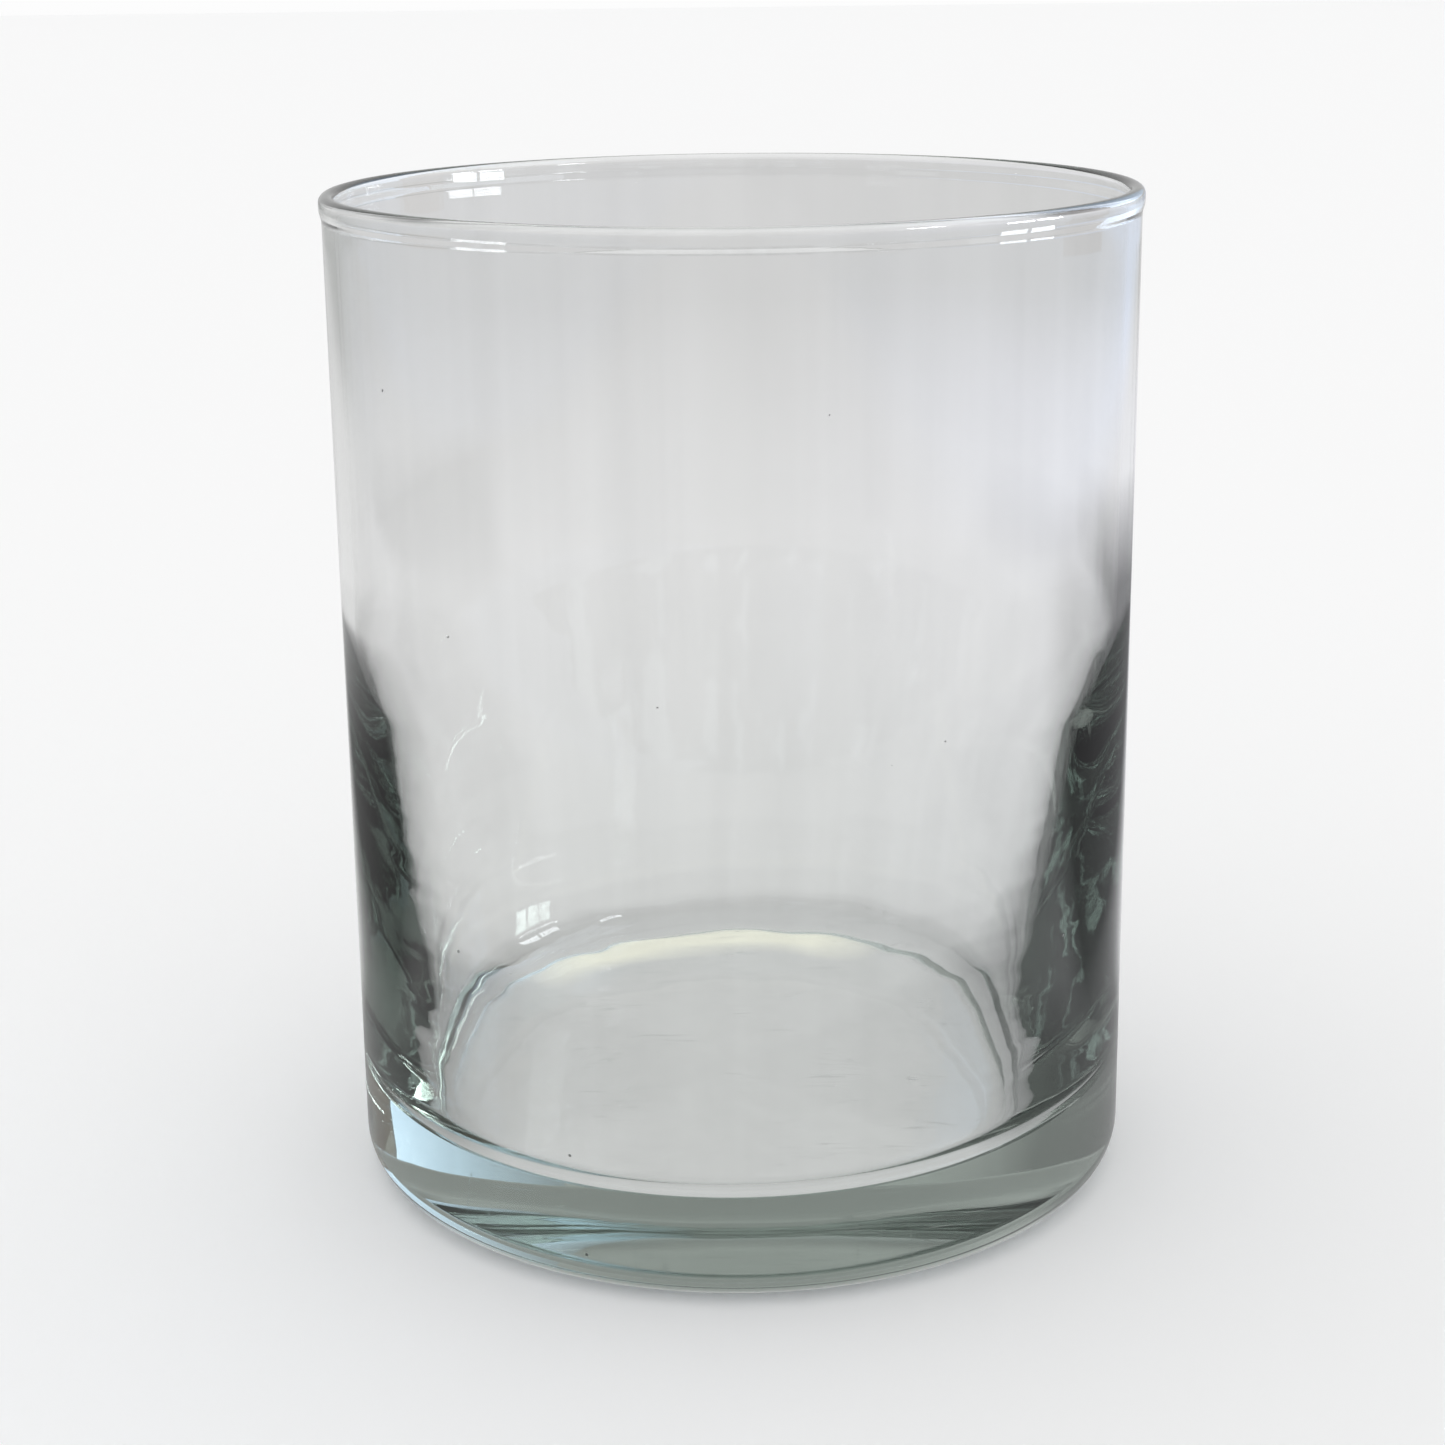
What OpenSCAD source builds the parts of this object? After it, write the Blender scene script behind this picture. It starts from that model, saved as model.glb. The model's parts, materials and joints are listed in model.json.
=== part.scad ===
// Heavy-base glass cylinder vase, one piece of clear glass.
// Z is up, and the origin is at the centre of the plane that the vase stands on.

/* [Body] */
// Height from the table to the top of the lip
height = 125; // [100:1:150]
// Diameter over the lip, the widest place
rim_d = 100; // [80:1:120]
// How far the bead of the lip stands out past the wall
bead_out = 0.3; // [0.1:0.1:0.6]
// Radius of the rounded heel between the wall and the underside
heel_r = 5; // [3:0.5:6]

/* [Lip] */
// Thickness of the fire-polished lip
lip_t = 2; // [1.6:0.1:3]
// Height of the bead from the top of the lip down to the wall
bead_h = 3; // [3:0.1:4]

/* [Inside] */
// Height at which the straight bore ends and the wall begins to thicken
bore_end_z = 69.5; // [66:0.5:74]
// Radius of the soft bend between the bore and the taper
shoulder_r = 65; // [30:5:80]
// Thickness of the wall where the taper eases into the steeper foot, measured from the lip's outside
foot_wall_t = 8; // [7:0.5:8.5]
// Height of that place
foot_wall_z = 28.5; // [27:0.5:32]
// Radius of the soft bend there
foot_bend_r = 74; // [30:2:80]
// Thickness of the wall where it would meet the floor, measured the same way
floor_wall_t = 9; // [9:0.5:10]
// Thickness of the glass under the floor
base_t = 11; // [9:0.5:12]
// Radius of the corner between the wall and the floor
corner_r = 5; // [3:0.5:6]

/* [Underside] */
// Distance from the lip's outside in to where the flat standing ring ends and the shallow dish begins
ring_in = 10; // [9:0.5:12]
// Depth of the dish in its flat middle
dish_depth = 0.3; // [0.2:0.1:0.4]

/* [Hidden] */
$fn = 180;
glass = [0.80, 0.86, 0.84, 0.45];
arc_step = 4; // degrees of each bend per point
rim_r = rim_d / 2;
body_r = rim_r - bead_out;
bore_r = rim_r - lip_t;
lip_round = lip_t * 0.48; // a hair under half, so the lip keeps a sliver of flat top
bead_shoulder = 1; // height over which the wall runs out into the bead
bead_round = 2;
dish_round = 150;
foot_wall_r = rim_r - foot_wall_t;
floor_r = rim_r - floor_wall_t;
standing_r = rim_r - ring_in;
dish_r = standing_r / 2; // radius of the flat middle of the dish

function unit(v) = v / norm(v);

// Points of the arc of radius r that rounds the corner b between a and c.
function rounded_corner(a, b, c, r) =
    let (
        u = unit(a - b),
        v = unit(c - b),
        half = acos(u * v) / 2,
        reach = r / tan(half),
        centre = b + unit(u + v) * r / sin(half),
        first = b + u * reach - centre,
        last = b + v * reach - centre,
        start = atan2(first[1], first[0]),
        sweep = (atan2(last[1], last[0]) - start + 540) % 360 - 180,
        steps = max(2, ceil(abs(sweep) / arc_step))
    )
    [for (i = [0:steps]) centre + r * [cos(start + sweep * i / steps), sin(start + sweep * i / steps)]];

// An outline from corners [x, z, radius]; a radius of 0 keeps the corner sharp.
function outline(corners) = [
    for (i = [0:len(corners) - 1])
        let (
            a = corners[(i + len(corners) - 1) % len(corners)],
            b = corners[i],
            c = corners[(i + 1) % len(corners)]
        )
        each b[2] == 0
            ? [[b[0], b[1]]]
            : rounded_corner([a[0], a[1]], [b[0], b[1]], [c[0], c[1]], b[2])
];

// Underside and heel: the shallow dish, the standing ring and the rounded heel.
function foot_corners() = [
    [0, dish_depth, 0],
    [dish_r, dish_depth, dish_round],
    [standing_r, 0, dish_round],
    [body_r, 0, heel_r]
];

// Outer wall, bead and fire-polished lip, up and over to the bore.
function lip_corners() = [
    [body_r, height - bead_h, bead_round],
    [rim_r, height - bead_h + bead_shoulder, bead_round],
    [rim_r, height, lip_round],
    [bore_r, height, lip_round]
];

// Straight bore, the taper that thickens the wall, the steeper foot of the wall, and the floor.
function inside_corners() = [
    [bore_r, bore_end_z, shoulder_r],
    [foot_wall_r, foot_wall_z, foot_bend_r],
    [floor_r, base_t, corner_r],
    [0, base_t, 0]
];

module vase() {
    color(glass)
        rotate_extrude()
            polygon(outline(concat(foot_corners(), lip_corners(), inside_corners())));
}

vase();
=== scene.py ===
"""Heavy-base glass cylinder vase, one piece of clear glass, on a pale table in soft studio light.

Metres, +Z up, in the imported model's frame: the vase's axis is the Z axis and it stands on z = 0.
"""

import json
from math import cos, pi, radians, sin, tan

import bpy
from mathutils import Matrix, Quaternion, Vector, noise


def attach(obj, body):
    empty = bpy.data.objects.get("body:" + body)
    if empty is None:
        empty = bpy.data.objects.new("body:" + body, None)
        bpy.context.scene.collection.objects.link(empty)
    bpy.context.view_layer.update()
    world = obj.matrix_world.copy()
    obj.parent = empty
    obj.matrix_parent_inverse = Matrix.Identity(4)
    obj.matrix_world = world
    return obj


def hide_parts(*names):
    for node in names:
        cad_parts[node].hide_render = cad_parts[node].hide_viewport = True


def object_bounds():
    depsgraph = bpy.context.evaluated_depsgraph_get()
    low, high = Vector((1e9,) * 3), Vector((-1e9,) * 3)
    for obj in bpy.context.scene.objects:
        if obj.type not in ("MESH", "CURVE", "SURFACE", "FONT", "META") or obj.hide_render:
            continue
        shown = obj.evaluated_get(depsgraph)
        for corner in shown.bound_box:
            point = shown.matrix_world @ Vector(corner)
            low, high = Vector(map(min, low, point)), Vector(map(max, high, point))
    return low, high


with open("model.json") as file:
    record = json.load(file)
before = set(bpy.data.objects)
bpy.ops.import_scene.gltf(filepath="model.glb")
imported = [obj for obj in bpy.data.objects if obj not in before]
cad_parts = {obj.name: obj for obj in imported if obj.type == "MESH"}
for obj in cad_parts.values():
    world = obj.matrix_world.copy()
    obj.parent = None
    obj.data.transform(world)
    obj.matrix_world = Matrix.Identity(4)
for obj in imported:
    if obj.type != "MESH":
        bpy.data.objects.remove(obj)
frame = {"record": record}
cad_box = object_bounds()
bpy.ops.object.select_all(action="DESELECT")


# ------------------------------------------------------------------ camera
# A hand-held close-up from just above the rim, so the lens is a short tele and the walls converge downwards.
# The camera leans a little to one side, and the vase sits a little low in the picture.
MM = 0.001
high_corner = cad_box[1]
height = high_corner.z
rim_r = high_corner.x
camera_distance = 340 * MM
camera_elevation = radians(15.6)
camera_lean = radians(-0.67)
aim_x = -0.85 * MM

camera_data = bpy.data.cameras.new("camera")
camera_data.lens = 66.0
camera_data.sensor_width = 36.0
camera_data.shift_x = -0.0054
camera_data.shift_y = -0.0308
camera_data.clip_start = 0.01
camera = bpy.data.objects.new("camera", camera_data)
bpy.context.scene.collection.objects.link(camera)
aim = Vector((aim_x, 0, height / 2))
back = Vector((0, -cos(camera_elevation), sin(camera_elevation)))
camera.location = aim + back * camera_distance
camera.rotation_mode = "QUATERNION"
camera.rotation_quaternion = (-back).to_track_quat("-Z", "Y") @ Quaternion((0, 0, 1), camera_lean)
bpy.context.scene.camera = camera


# -------------------------------------------------------------------- vase
# One gather of clear soda-lime glass, pressed and blown in a round mould, with the excess burned off above
# the lip. The wall thickens over its lower half into a heavy solid base, and the lip is fire-polished round.
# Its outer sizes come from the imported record, so it fills the CAD solid that it stands for.
mounts = {mount["name"]: mount["dims"] for mount in frame["record"]["mounts"] if mount["dims"]}
bore_r = mounts["mouth"]["r_mm"] * MM
wall_r = mounts["outer_wall"]["r_mm"] * MM
dish_r = 20 * MM
dish_z = 0.3 * MM
dish_round = 150 * MM
standing_r = 40 * MM
heel_round = 5 * MM
bead_h = 3 * MM
bead_shoulder = 1 * MM
bead_round = 2 * MM
lip_round = 0.96 * MM
bore_end_z = 69.5 * MM
shoulder_round = 65 * MM
foot_wall_r = 42 * MM
foot_wall_z = 28.5 * MM
foot_bend_round = 74 * MM
floor_r = 41 * MM
floor_z = 11 * MM
floor_round = 5 * MM

# Corners of half a section, from the middle of the underside round to the middle of the floor inside.
# Each is (radius from the axis, height, radius of its rounding, number of steps in the rounding).
section = [
    (0, dish_z, 0, 0),
    (dish_r, dish_z, dish_round, 4),
    (standing_r, 0, dish_round, 4),
    (wall_r, 0, heel_round, 14),
    (wall_r, height - bead_h, bead_round, 4),
    (rim_r, height - bead_h + bead_shoulder, bead_round, 4),
    (rim_r, height, lip_round, 10),
    (bore_r, height, lip_round, 10),
    (bore_r, bore_end_z, shoulder_round, 12),
    (foot_wall_r, foot_wall_z, foot_bend_round, 8),
    (floor_r, floor_z, floor_round, 16),
    (0, floor_z, 0, 0),
]
# The longest steps along the section, with the fine ones where the cavity's skin is waved.
fine_step = 0.6 * MM
fine_top = 82 * MM
floor_step = 1.5 * MM
coarse_step = 4 * MM
skin_gap = 0.02 * MM
merge_gap = 0.001 * MM
turns = 256


def corner_reach(before, corner, after, radius):
    """How far along its two edges the rounding of a corner reaches."""
    one = (Vector(before) - Vector(corner)).normalized()
    other = (Vector(after) - Vector(corner)).normalized()
    return radius / tan(one.angle(other) / 2)


def nearest_vertex(mesh, place):
    """The index of the vertex of a mesh nearest a place."""
    return min(mesh.vertices, key=lambda vertex: (vertex.co - place).length_squared).index


def only_vertex(vase, place):
    """Leaves just the vertex nearest a place selected."""
    bpy.ops.mesh.select_all(action="DESELECT")
    bpy.ops.object.mode_set(mode="OBJECT")
    vase.data.vertices[nearest_vertex(vase.data, place)].select = True
    bpy.ops.object.mode_set(mode="EDIT")


def draw_section(vase):
    """Draws the section as a line, corner by corner, then rounds its corners."""
    bpy.ops.object.mode_set(mode="EDIT")
    bpy.ops.mesh.select_mode(type="VERT")
    bpy.ops.mesh.select_all(action="SELECT")
    bpy.ops.mesh.merge(type="CENTER")
    places = [Vector((x, 0, z)) for x, z, _, _ in section]
    bpy.ops.transform.translate(value=places[0])
    for here, there in zip(places, places[1:]):
        bpy.ops.mesh.extrude_region_move(TRANSFORM_OT_translate={"value": there - here})
    for before, corner, after in zip(section, section[1:], section[2:]):
        reach = corner_reach(before[:2], corner[:2], after[:2], corner[2])
        only_vertex(vase, Vector((corner[0], 0, corner[1])))
        bpy.ops.mesh.bevel(offset=reach, offset_type="OFFSET", segments=corner[3], affect="VERTICES")
    bpy.ops.object.mode_set(mode="OBJECT")


def is_inside(place):
    """Whether a place is on the skin of the cavity."""
    return place.xy.length < bore_r + skin_gap and place.z > floor_z - skin_gap


def step_at(place):
    """The longest step along the section at a place."""
    if not is_inside(place) or place.z > fine_top:
        return coarse_step
    return floor_step if place.z < floor_z + skin_gap else fine_step


def cut_long_edges(vase):
    """Halves every edge of the line that is longer than its step, until none is."""
    while True:
        bpy.ops.object.mode_set(mode="EDIT")
        bpy.ops.mesh.select_mode(type="EDGE")
        bpy.ops.mesh.select_all(action="DESELECT")
        bpy.ops.object.mode_set(mode="OBJECT")
        places = [vertex.co for vertex in vase.data.vertices]
        for edge in vase.data.edges:
            start, end = (places[index] for index in edge.vertices)
            edge.select = (end - start).length > step_at((start + end) / 2)
        if not any(edge.select for edge in vase.data.edges):
            return
        bpy.ops.object.mode_set(mode="EDIT")
        bpy.ops.mesh.subdivide(number_cuts=1)
        bpy.ops.object.mode_set(mode="OBJECT")


def turn_section(vase):
    """Turns the line once round the axis, closes it there and points its faces outwards."""
    bpy.ops.object.mode_set(mode="EDIT")
    bpy.ops.mesh.select_mode(type="VERT")
    bpy.ops.mesh.select_all(action="SELECT")
    bpy.ops.mesh.spin(steps=turns, angle=2 * pi, center=(0, 0, 0), axis=(0, 0, 1))
    bpy.ops.mesh.select_all(action="SELECT")
    bpy.ops.mesh.remove_doubles(threshold=merge_gap)
    bpy.ops.mesh.normals_make_consistent(inside=False)
    bpy.ops.object.mode_set(mode="OBJECT")
    bpy.ops.object.shade_smooth()


bpy.ops.mesh.primitive_plane_add(size=1 * MM, location=(0, 0, 0))
vase = bpy.context.object
vase.name = "glass_vase"
draw_section(vase)
cut_long_edges(vase)
turn_section(vase)


def smooth_step(low_end, high_end, value):
    """0 below the low end, 1 above the high end, and a soft rise between them."""
    share = min(1, max(0, (value - low_end) / (high_end - low_end)))
    return share * share * (3 - 2 * share)


# The cavity leans a little to one side low down, and its skin keeps faint waves that wind round it from
# where the soft glass turned in the mould. They are strongest where the wall is thick.
lean = Vector((-1.15, -2.9, 0)) * MM
lean_foot = 20 * MM
lean_top = 78 * MM
least_wave = 0.06
ring_height = 0.018 * MM
ring_size = Vector((36, 36, 3)) * MM
wave_height = 0.018 * MM
wave_size = Vector((8, 8, 30)) * MM
wave_floor_share = 0.3
wave_twist = radians(1.6) / MM  # how far a wave winds round for each unit of height
wave_octaves = 2


def inside_wave(place):
    """How far the cavity's skin stands off its true shape at a place."""
    wound = Matrix.Rotation(wave_twist * place.z, 3, "Z") @ place
    waves = 0
    for spot, size, wave_depth in ((wound, wave_size, wave_height), (place, ring_size, ring_height)):
        spot = Vector(spot[axis] / size[axis] for axis in range(3))
        waves += wave_depth * noise.fractal(spot, 1, 2, wave_octaves)
    return waves


vertex_normals = [vertex.normal.copy() for vertex in vase.data.vertices]
for vertex, normal in zip(vase.data.vertices, vertex_normals):
    place = vertex.co.copy()
    if not is_inside(place):
        continue
    thick = 1 - smooth_step(lean_foot, lean_top, place.z)
    strength = max(least_wave, thick) * (wave_floor_share if place.z < floor_z + skin_gap else 1)
    vertex.co = place + lean * thick + normal * strength * inside_wave(place)
vase.data.update()

# Clear glass with a faint grey-green tint that only shows over a long way through, as in the base. Its skin
# has draw lines down the wall, a few specks of dust, wiped-over hairlines on the floor and a breath of haze.
glass = bpy.data.materials.new("clear_glass")
glass.use_nodes = True
nodes, links = glass.node_tree.nodes, glass.node_tree.links
shader = nodes["Principled BSDF"]
shader.inputs["Transmission Weight"].default_value = 1
shader.inputs["IOR"].default_value = 1.52
body_tint = nodes.new("ShaderNodeVolumeAbsorption")
body_tint.inputs["Color"].default_value = (0.24, 0.33, 0.27, 1)
body_tint.inputs["Density"].default_value = 16
links.new(body_tint.outputs["Volume"], nodes["Material Output"].inputs["Volume"])
vase.data.materials.append(glass)


def node(kind, **settings):
    """A new node of the material that is being made, with its settings."""
    made = nodes.new(kind)
    for name, value in settings.items():
        setattr(made, name, value)
    return made


def math(operation, first, second):
    """The result of one sum on two sockets or numbers."""
    sum_node = node("ShaderNodeMath", operation=operation)
    for socket, value in zip(sum_node.inputs, (first, second)):
        if isinstance(value, (int, float)):
            socket.default_value = value
        else:
            links.new(value, socket)
    return sum_node.outputs["Value"]


def stretched_noise(sizes, detail, turn=0):
    """Noise whose marks have the given sizes along X, Y and Z, turned about Z."""
    place = node("ShaderNodeTexCoord")
    stretch = node("ShaderNodeMapping", vector_type="POINT")
    stretch.inputs["Rotation"].default_value = (0, 0, turn)
    stretch.inputs["Scale"].default_value = [1 / size for size in sizes]
    marks = node("ShaderNodeTexNoise")
    marks.inputs["Scale"].default_value = 1
    marks.inputs["Detail"].default_value = detail
    links.new(place.outputs["Object"], stretch.inputs["Vector"])
    links.new(stretch.outputs["Vector"], marks.inputs["Vector"])
    return marks.outputs["Fac"]


def between(value, low_end, high_end, low_result, high_result):
    """A value carried from one range to another, and held at its ends."""
    carry = node("ShaderNodeMapRange")
    links.new(value, carry.inputs["Value"])
    for name, number in zip(("From Min", "From Max", "To Min", "To Max"),
                            (low_end, high_end, low_result, high_result)):
        carry.inputs[name].default_value = number
    return carry.outputs["Result"]


draw_lines = stretched_noise((5 * MM, 5 * MM, 260 * MM), 3)
fine_lines = stretched_noise((1.6 * MM, 1.6 * MM, 90 * MM), 2)
haze = stretched_noise((16 * MM, 16 * MM, 16 * MM), 4)
specks = node("ShaderNodeTexVoronoi", feature="F1")
speck_gap = 17 * MM
speck_size = 0.2 * MM
hairline_width = 0.006  # as a share of the noise that the hairlines follow
specks.inputs["Scale"].default_value = 1 / speck_gap
links.new(node("ShaderNodeTexCoord").outputs["Object"], specks.inputs["Vector"])
speck_mask = math("LESS_THAN", specks.outputs["Distance"], speck_size / speck_gap)
hairline_noise = stretched_noise((26 * MM, 1.1 * MM, 26 * MM), 1, turn=radians(35))
hairline_band = math("ABSOLUTE", math("SUBTRACT", hairline_noise, 0.5), 0)
hairline_where = between(stretched_noise((9 * MM, 9 * MM, 9 * MM), 1), 0.52, 0.6, 0, 1)
height_above = node("ShaderNodeSeparateXYZ")
links.new(node("ShaderNodeTexCoord").outputs["Object"], height_above.inputs["Vector"])
on_floor = between(height_above.outputs["Z"], floor_z + 0.5 * MM, floor_z + 2 * MM, 1, 0)
hairline_where = math("MULTIPLY", hairline_where, on_floor)
hairlines = math("MULTIPLY", math("LESS_THAN", hairline_band, hairline_width), hairline_where)

clearness = math("MULTIPLY", between(draw_lines, 0.35, 0.65, 0.965, 1.0), between(haze, 0.3, 0.7, 0.985, 1.0))
clearness = math("MULTIPLY", clearness, between(speck_mask, 0, 1, 1.0, 0.12))
clearness = math("MULTIPLY", clearness, between(hairlines, 0, 1, 1.0, 0.86))
colour = node("ShaderNodeCombineColor")
for channel in ("Red", "Green", "Blue"):
    links.new(clearness, colour.inputs[channel])
links.new(colour.outputs["Color"], shader.inputs["Base Color"])
dull = math("ADD", between(haze, 0.5, 0.75, 0.0, 0.03), math("MULTIPLY", speck_mask, 0.5))
links.new(math("ADD", dull, math("MULTIPLY", hairlines, 0.25)), shader.inputs["Roughness"])
skin = node("ShaderNodeBump")
skin.inputs["Distance"].default_value = 0.01 * MM
skin.inputs["Strength"].default_value = 1
on_wall = between(height_above.outputs["Z"], 60 * MM, 90 * MM, 0, 1)
lines = math("ADD", draw_lines, math("MULTIPLY", fine_lines, 0.25))
links.new(math("MULTIPLY", lines, on_wall), skin.inputs["Height"])
links.new(skin.outputs["Normal"], shader.inputs["Normal"])

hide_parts("vase")
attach(vase, "root")


# ------------------------------------------------------------------- studio
# A plain pale table that runs out of sight under a white room. What the glass bends and mirrors is a greyer
# table with a runner down it, which is a glow of painted light and painted shade rather than a lit surface, a
# dim room, windows at the back and at the right, and a bright wall. The camera and the table don't see the
# panels, so the picture stays plain.
air_gap = 0.05 * MM  # glass never sits so close that light passes straight through into the table
bpy.ops.mesh.primitive_plane_add(size=12, location=(0, 0, -air_gap))
table = bpy.context.object
table.name = "table"
table_with_painted_light = bpy.data.materials.new("table_with_painted_light")
table_with_painted_light.use_nodes = True
nodes, links = table_with_painted_light.node_tree.nodes, table_with_painted_light.node_tree.links
nodes.clear()


def tone_ramp(value, tones):
    """A tone that follows a value along a list of (value, grey or colour)."""
    ramp = node("ShaderNodeValToRGB")
    links.new(value, ramp.inputs["Fac"])
    while len(ramp.color_ramp.elements) < len(tones):
        ramp.color_ramp.elements.new(0.5)
    for stop, (place, tone) in zip(ramp.color_ramp.elements, tones):
        stop.position = place
        stop.color = (*tone, 1) if isinstance(tone, tuple) else (tone, tone, tone, 1)
    return ramp.outputs["Color"]


def mixed(share, first, second, blend="MIX"):
    """Two colours mixed by a share. Each of the three may be a socket or a plain value."""
    mix_node = node("ShaderNodeMix", data_type="RGBA", blend_type=blend)
    inputs = {socket.identifier: socket for socket in mix_node.inputs}
    for name, value in (("Factor_Float", share), ("A_Color", first), ("B_Color", second)):
        if isinstance(value, bpy.types.NodeSocket):
            links.new(value, inputs[name])
        else:
            inputs[name].default_value = value
    return {socket.identifier: socket for socket in mix_node.outputs}["Result_Color"]


# Painted light and shade: how bright the glass shows the table, by the distance from the axis in metres.
# Along the pale runner that the vase stands on it has painted shade under the foot and a painted contact
# shadow in a ring just round it; close in at its two sides it has painted shade; and the table past the
# runner is in painted shade.
runner_tones = [(0.0, 0.72), (0.046, 0.72), (0.050, 0.64), (0.062, 0.67), (0.076, 0.80), (0.09, 0.83),
                (0.2, 0.83), (0.5, 0.77), (0.85, 0.69)]
side_shade_tones = [(0.0, 0.72), (0.041, 0.60), (0.052, 0.40), (0.085, 0.40), (0.12, 0.83)]
shaded_tones = [(0.0, 0.22), (0.34, 0.22), (0.48, 0.80), (0.7, 0.75), (0.9, 0.67)]
runner_spread = 0.15  # how much wider the runner gets on each side for each metre away
left_lead = 0.13  # how much nearer the vase the shade ends on the left
distance = node("ShaderNodeVectorMath", operation="LENGTH")
links.new(node("ShaderNodeTexCoord").outputs["Object"], distance.inputs[0])
distance = distance.outputs["Value"]
spot = node("ShaderNodeSeparateXYZ")
links.new(node("ShaderNodeTexCoord").outputs["Object"], spot.inputs["Vector"])
rightward = math("DIVIDE", spot.outputs["X"], distance)
backward = math("DIVIDE", spot.outputs["Y"], distance)

# Painted shade close in beside the foot at its two sides.
at_sides = between(math("ABSOLUTE", rightward, 0), sin(radians(48)), sin(radians(62)), 0, 1)
painted_side_shade = math("MULTIPLY", at_sides, between(distance, 0.11, 0.13, 1, 0))
painted_table_light = mixed(painted_side_shade, tone_ramp(distance, runner_tones), tone_ramp(distance, side_shade_tones))

# Painted shade on the table past the edges of the runner, from the vase's sides round to behind it.
from_middle = math("ABSOLUTE", spot.outputs["X"], 0)
past_edge = math("SUBTRACT", from_middle, math("MULTIPLY", distance, runner_spread))
painted_shade_past_runner = math("MULTIPLY", between(past_edge, 0.063, 0.095, 0, 1), between(backward, -0.02, 0.16, 0, 1))
shade_place = math("ADD", distance, between(spot.outputs["X"], -0.03, 0.03, left_lead, 0))
painted_table_light = mixed(painted_shade_past_runner, painted_table_light, tone_ramp(shade_place, shaded_tones))

# A painted pool of light: the light that the base gathers, painted as a cream crescent under the back of the
# foot.
crescent = math("MULTIPLY", between(distance, 0.035, 0.039, 0, 1), between(distance, 0.043, 0.046, 1, 0))
behind = math("SUBTRACT", backward, math("MULTIPLY", rightward, 0.15))
crescent = math("MULTIPLY", crescent, between(behind, 0.72, 0.9, 0, 1))
painted_table_light = mixed(crescent, painted_table_light, (1.12, 1.10, 0.93, 1))

# Painted daylight from the window on the right lies over that side, and painted shade lies over the far left.
near_daylight = math("MULTIPLY", between(spot.outputs["X"], 0.02, 0.12, 0, 1),
                     between(distance, 0.6, 0.95, 1, 0))
far_daylight = between(spot.outputs["X"], 0.36, 0.50, 0, 1)
far_shade = between(spot.outputs["X"], -0.36, -0.50, 0, 1)
for share, light in ((near_daylight, (1.08, 1.08, 1.12, 1)),
                     (far_daylight, (1.06, 1.13, 1.27, 1)),
                     (far_shade, (0.74, 0.75, 0.74, 1))):
    painted_table_light = mixed(share, painted_table_light, light, blend="MULTIPLY")
# The glass sees the table as a glow of this painted light and shade in place of a lit surface, while the
# camera sees a plain white table lit by the room.
through = node("ShaderNodeEmission")
links.new(painted_table_light, through.inputs["Color"])
seen = node("ShaderNodeBsdfDiffuse")
seen.inputs["Color"].default_value = (0.97, 0.97, 0.97, 1)
path = node("ShaderNodeLightPath")
mix = node("ShaderNodeMixShader")
links.new(path.outputs["Is Camera Ray"], mix.inputs["Fac"])
links.new(through.outputs["Emission"], mix.inputs[1])
links.new(seen.outputs["BSDF"], mix.inputs[2])
links.new(mix.outputs["Shader"], node("ShaderNodeOutputMaterial").inputs["Surface"])
table.data.materials.append(table_with_painted_light)

room = bpy.data.worlds.new("room")
bpy.context.scene.world = room
room.use_nodes = True
nodes, links = room.node_tree.nodes, room.node_tree.links
nodes.clear()
white = node("ShaderNodeBackground")
white.inputs["Color"].default_value = (0.98, 0.98, 0.98, 1)
bent = node("ShaderNodeBackground")
facing = node("ShaderNodeSeparateXYZ")
links.new(node("ShaderNodeTexCoord").outputs["Generated"], facing.inputs["Vector"])
# The room's tone from the dark side that the camera stands on (0) to the light side behind the vase (1).
# The dark side has small bright things in it, and it is light overhead.
room_tones = [(0.0, 0.07), (0.35, 0.08), (0.5, 0.20), (0.65, 0.32), (0.85, 0.46), (0.93, 0.92), (1.0, 0.66)]
walls = tone_ramp(math("MULTIPLY", math("ADD", facing.outputs["Y"], 1), 0.5), room_tones)
overhead = between(facing.outputs["Z"], sin(radians(38)), sin(radians(62)), 0, 1)
clutter = node("ShaderNodeTexNoise")
clutter.inputs["Scale"].default_value = 7
clutter.inputs["Detail"].default_value = 3
links.new(node("ShaderNodeTexCoord").outputs["Generated"], clutter.inputs["Vector"])
camera_side = between(facing.outputs["Y"], 0.1, -0.2, 0, 1)
bright_spots = math("MULTIPLY", between(clutter.outputs["Fac"], 0.54, 0.64, 0, 1), camera_side)
walls = mixed(bright_spots, walls, (0.95, 1.05, 1.08, 1))
links.new(mixed(overhead, walls, (1.12, 1.15, 1.18, 1)), bent.inputs["Color"])
path = node("ShaderNodeLightPath")
plain = math("MAXIMUM", path.outputs["Is Camera Ray"], path.outputs["Is Diffuse Ray"])
mix = node("ShaderNodeMixShader")
links.new(plain, mix.inputs["Fac"])
links.new(bent.outputs["Background"], mix.inputs[1])
links.new(white.outputs["Background"], mix.inputs[2])
links.new(mix.outputs["Shader"], node("ShaderNodeOutputWorld").inputs["Surface"])


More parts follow.
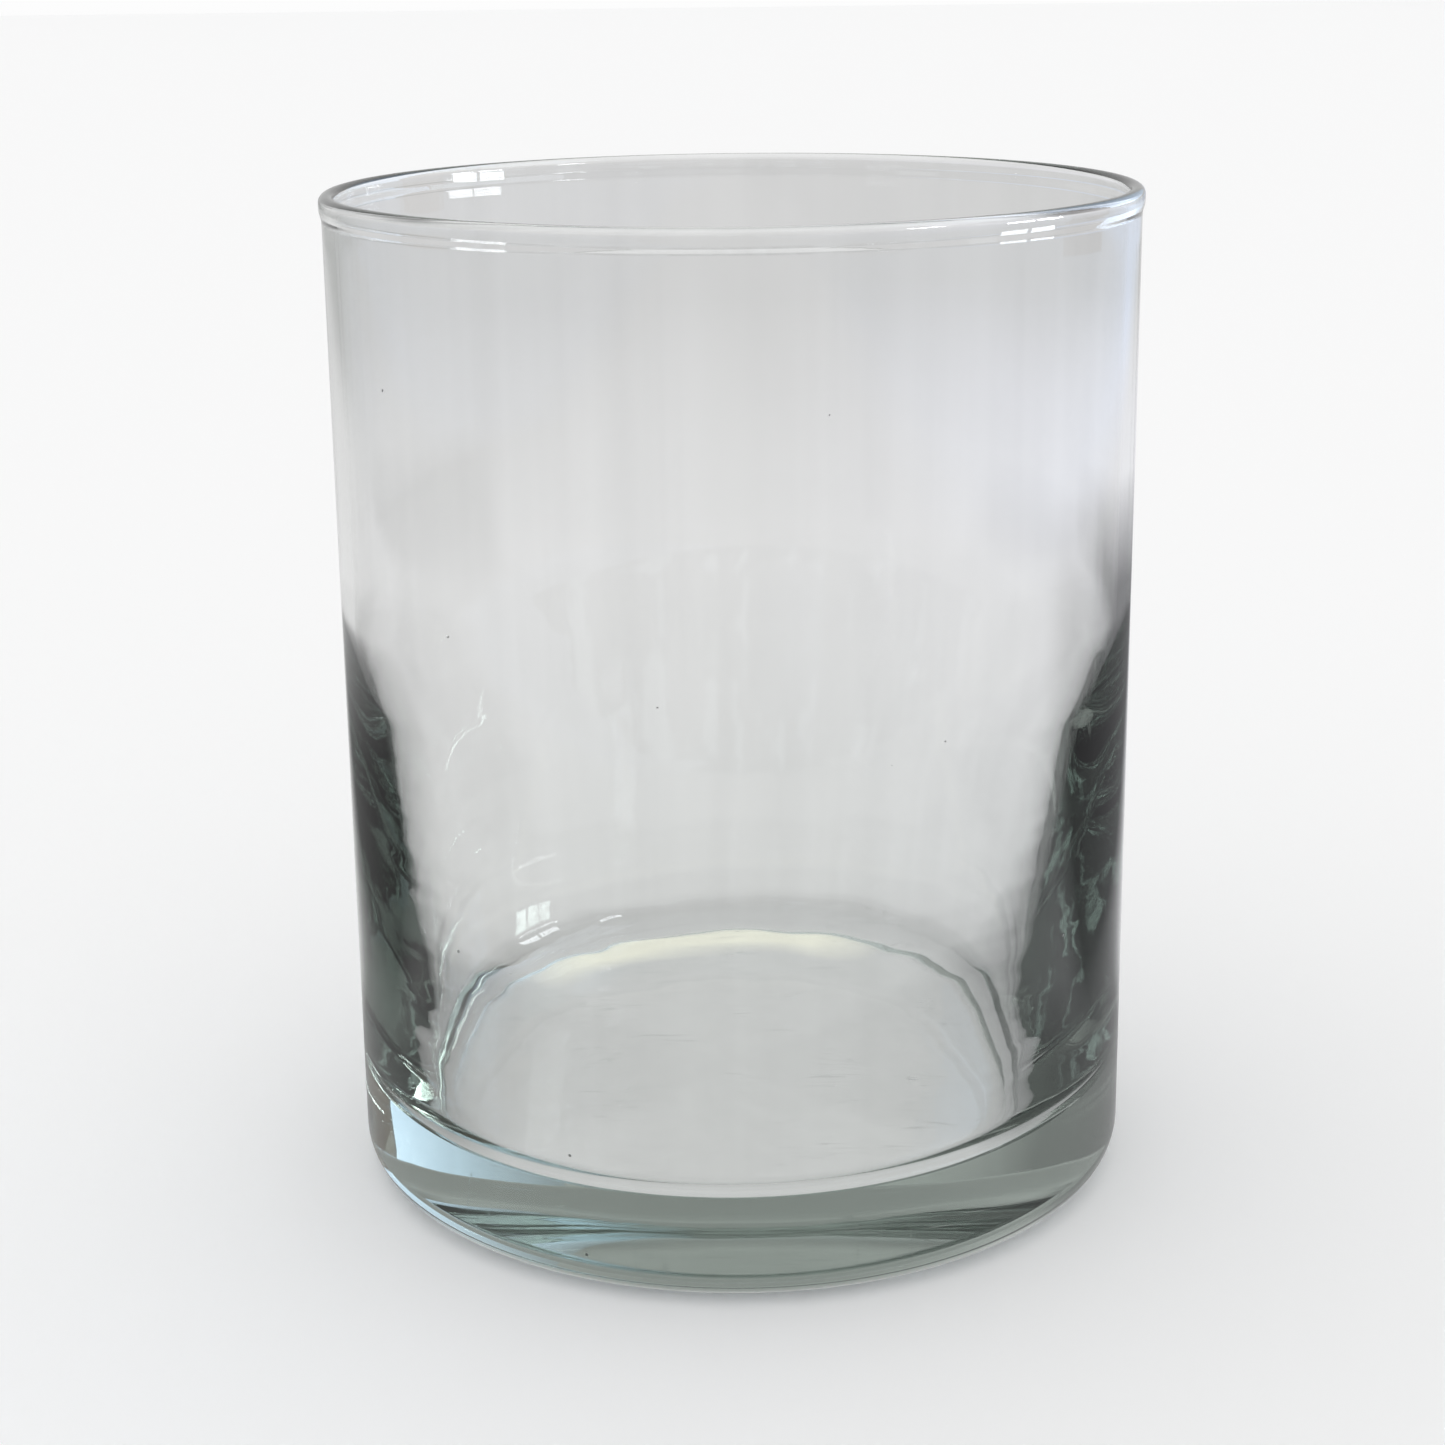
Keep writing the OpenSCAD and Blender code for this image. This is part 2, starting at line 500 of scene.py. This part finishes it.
def soft_panel(name, azimuths, heights, glows, away=1.2, bars=None):
    """An upright panel that only the glass sees, between two azimuths and two elevations.

    Azimuth 0 is straight behind the vase and 90 is at its right. The glow runs from the end at the first
    azimuth to the end at the second, and bars make it a window with that many panes across and up.
    """
    global nodes, links
    start, end = (radians(angle) for angle in azimuths)
    bottom, top = (away * tan(radians(angle)) for angle in heights)
    middle = (start + end) / 2
    bpy.ops.mesh.primitive_plane_add(size=1)
    panel = bpy.context.object
    panel.name = name
    panel.scale = (2 * away * tan((end - start) / 2), top - bottom, 1)
    panel.rotation_euler = (pi / 2, 0, -middle)
    panel.location = (away * sin(middle), away * cos(middle), (bottom + top) / 2)
    panel.visible_camera = False
    panel.visible_diffuse = False
    panel.visible_shadow = False
    light = bpy.data.materials.new(name)
    light.use_nodes = True
    nodes, links = light.node_tree.nodes, light.node_tree.links
    nodes.clear()
    shine = node("ShaderNodeEmission")
    along = node("ShaderNodeSeparateXYZ")
    links.new(node("ShaderNodeTexCoord").outputs["UV"], along.inputs["Vector"])
    glow = mixed(along.outputs["X"], (*glows[0], 1), (*glows[1], 1))
    if bars:
        panes = node("ShaderNodeTexBrick", offset=0, squash=1)
        links.new(glow, panes.inputs["Color1"])
        links.new(glow, panes.inputs["Color2"])
        panes.inputs["Mortar"].default_value = (0.4, 0.4, 0.4, 1)
        panes.inputs["Scale"].default_value = 1
        panes.inputs["Mortar Size"].default_value = 0.03
        panes.inputs["Mortar Smooth"].default_value = 0.2
        panes.inputs["Brick Width"].default_value = 1 / bars[0]
        panes.inputs["Row Height"].default_value = 1 / bars[1]
        links.new(node("ShaderNodeTexCoord").outputs["UV"], panes.inputs["Vector"])
        glow = panes.outputs["Color"]
    links.new(glow, shine.inputs["Color"])
    links.new(shine.outputs["Emission"], node("ShaderNodeOutputMaterial").inputs["Surface"])
    panel.data.materials.append(light)


soft_panel("window_behind", (18, 57), (8, 56), ((0.74, 0.82, 0.90), (2.40, 2.95, 3.75)))
soft_panel("wooden_post", (58, 78), (0, 34), ((0.42, 0.34, 0.29), (0.42, 0.34, 0.29)))
soft_panel("bright_wall_right", (59, 118), (35, 66), ((2.0, 2.3, 2.5), (1.9, 2.0, 2.2)), away=1.3)
soft_panel("window_right", (82, 104), (3, 12), ((24, 25, 26), (24, 25, 26)), bars=(2, 1))
soft_panel("window_far_right", (121, 132), (22, 29), ((22, 23, 24), (22, 23, 24)), bars=(3, 1))

scene = bpy.context.scene
scene.view_settings.view_transform = "Standard"
inner_bounces = 48  # light runs round inside the heavy base many times before it leaves
scene.cycles.max_bounces = inner_bounces
scene.cycles.transmission_bounces = inner_bounces
scene.cycles.glossy_bounces = inner_bounces
scene.cycles.transparent_max_bounces = 16
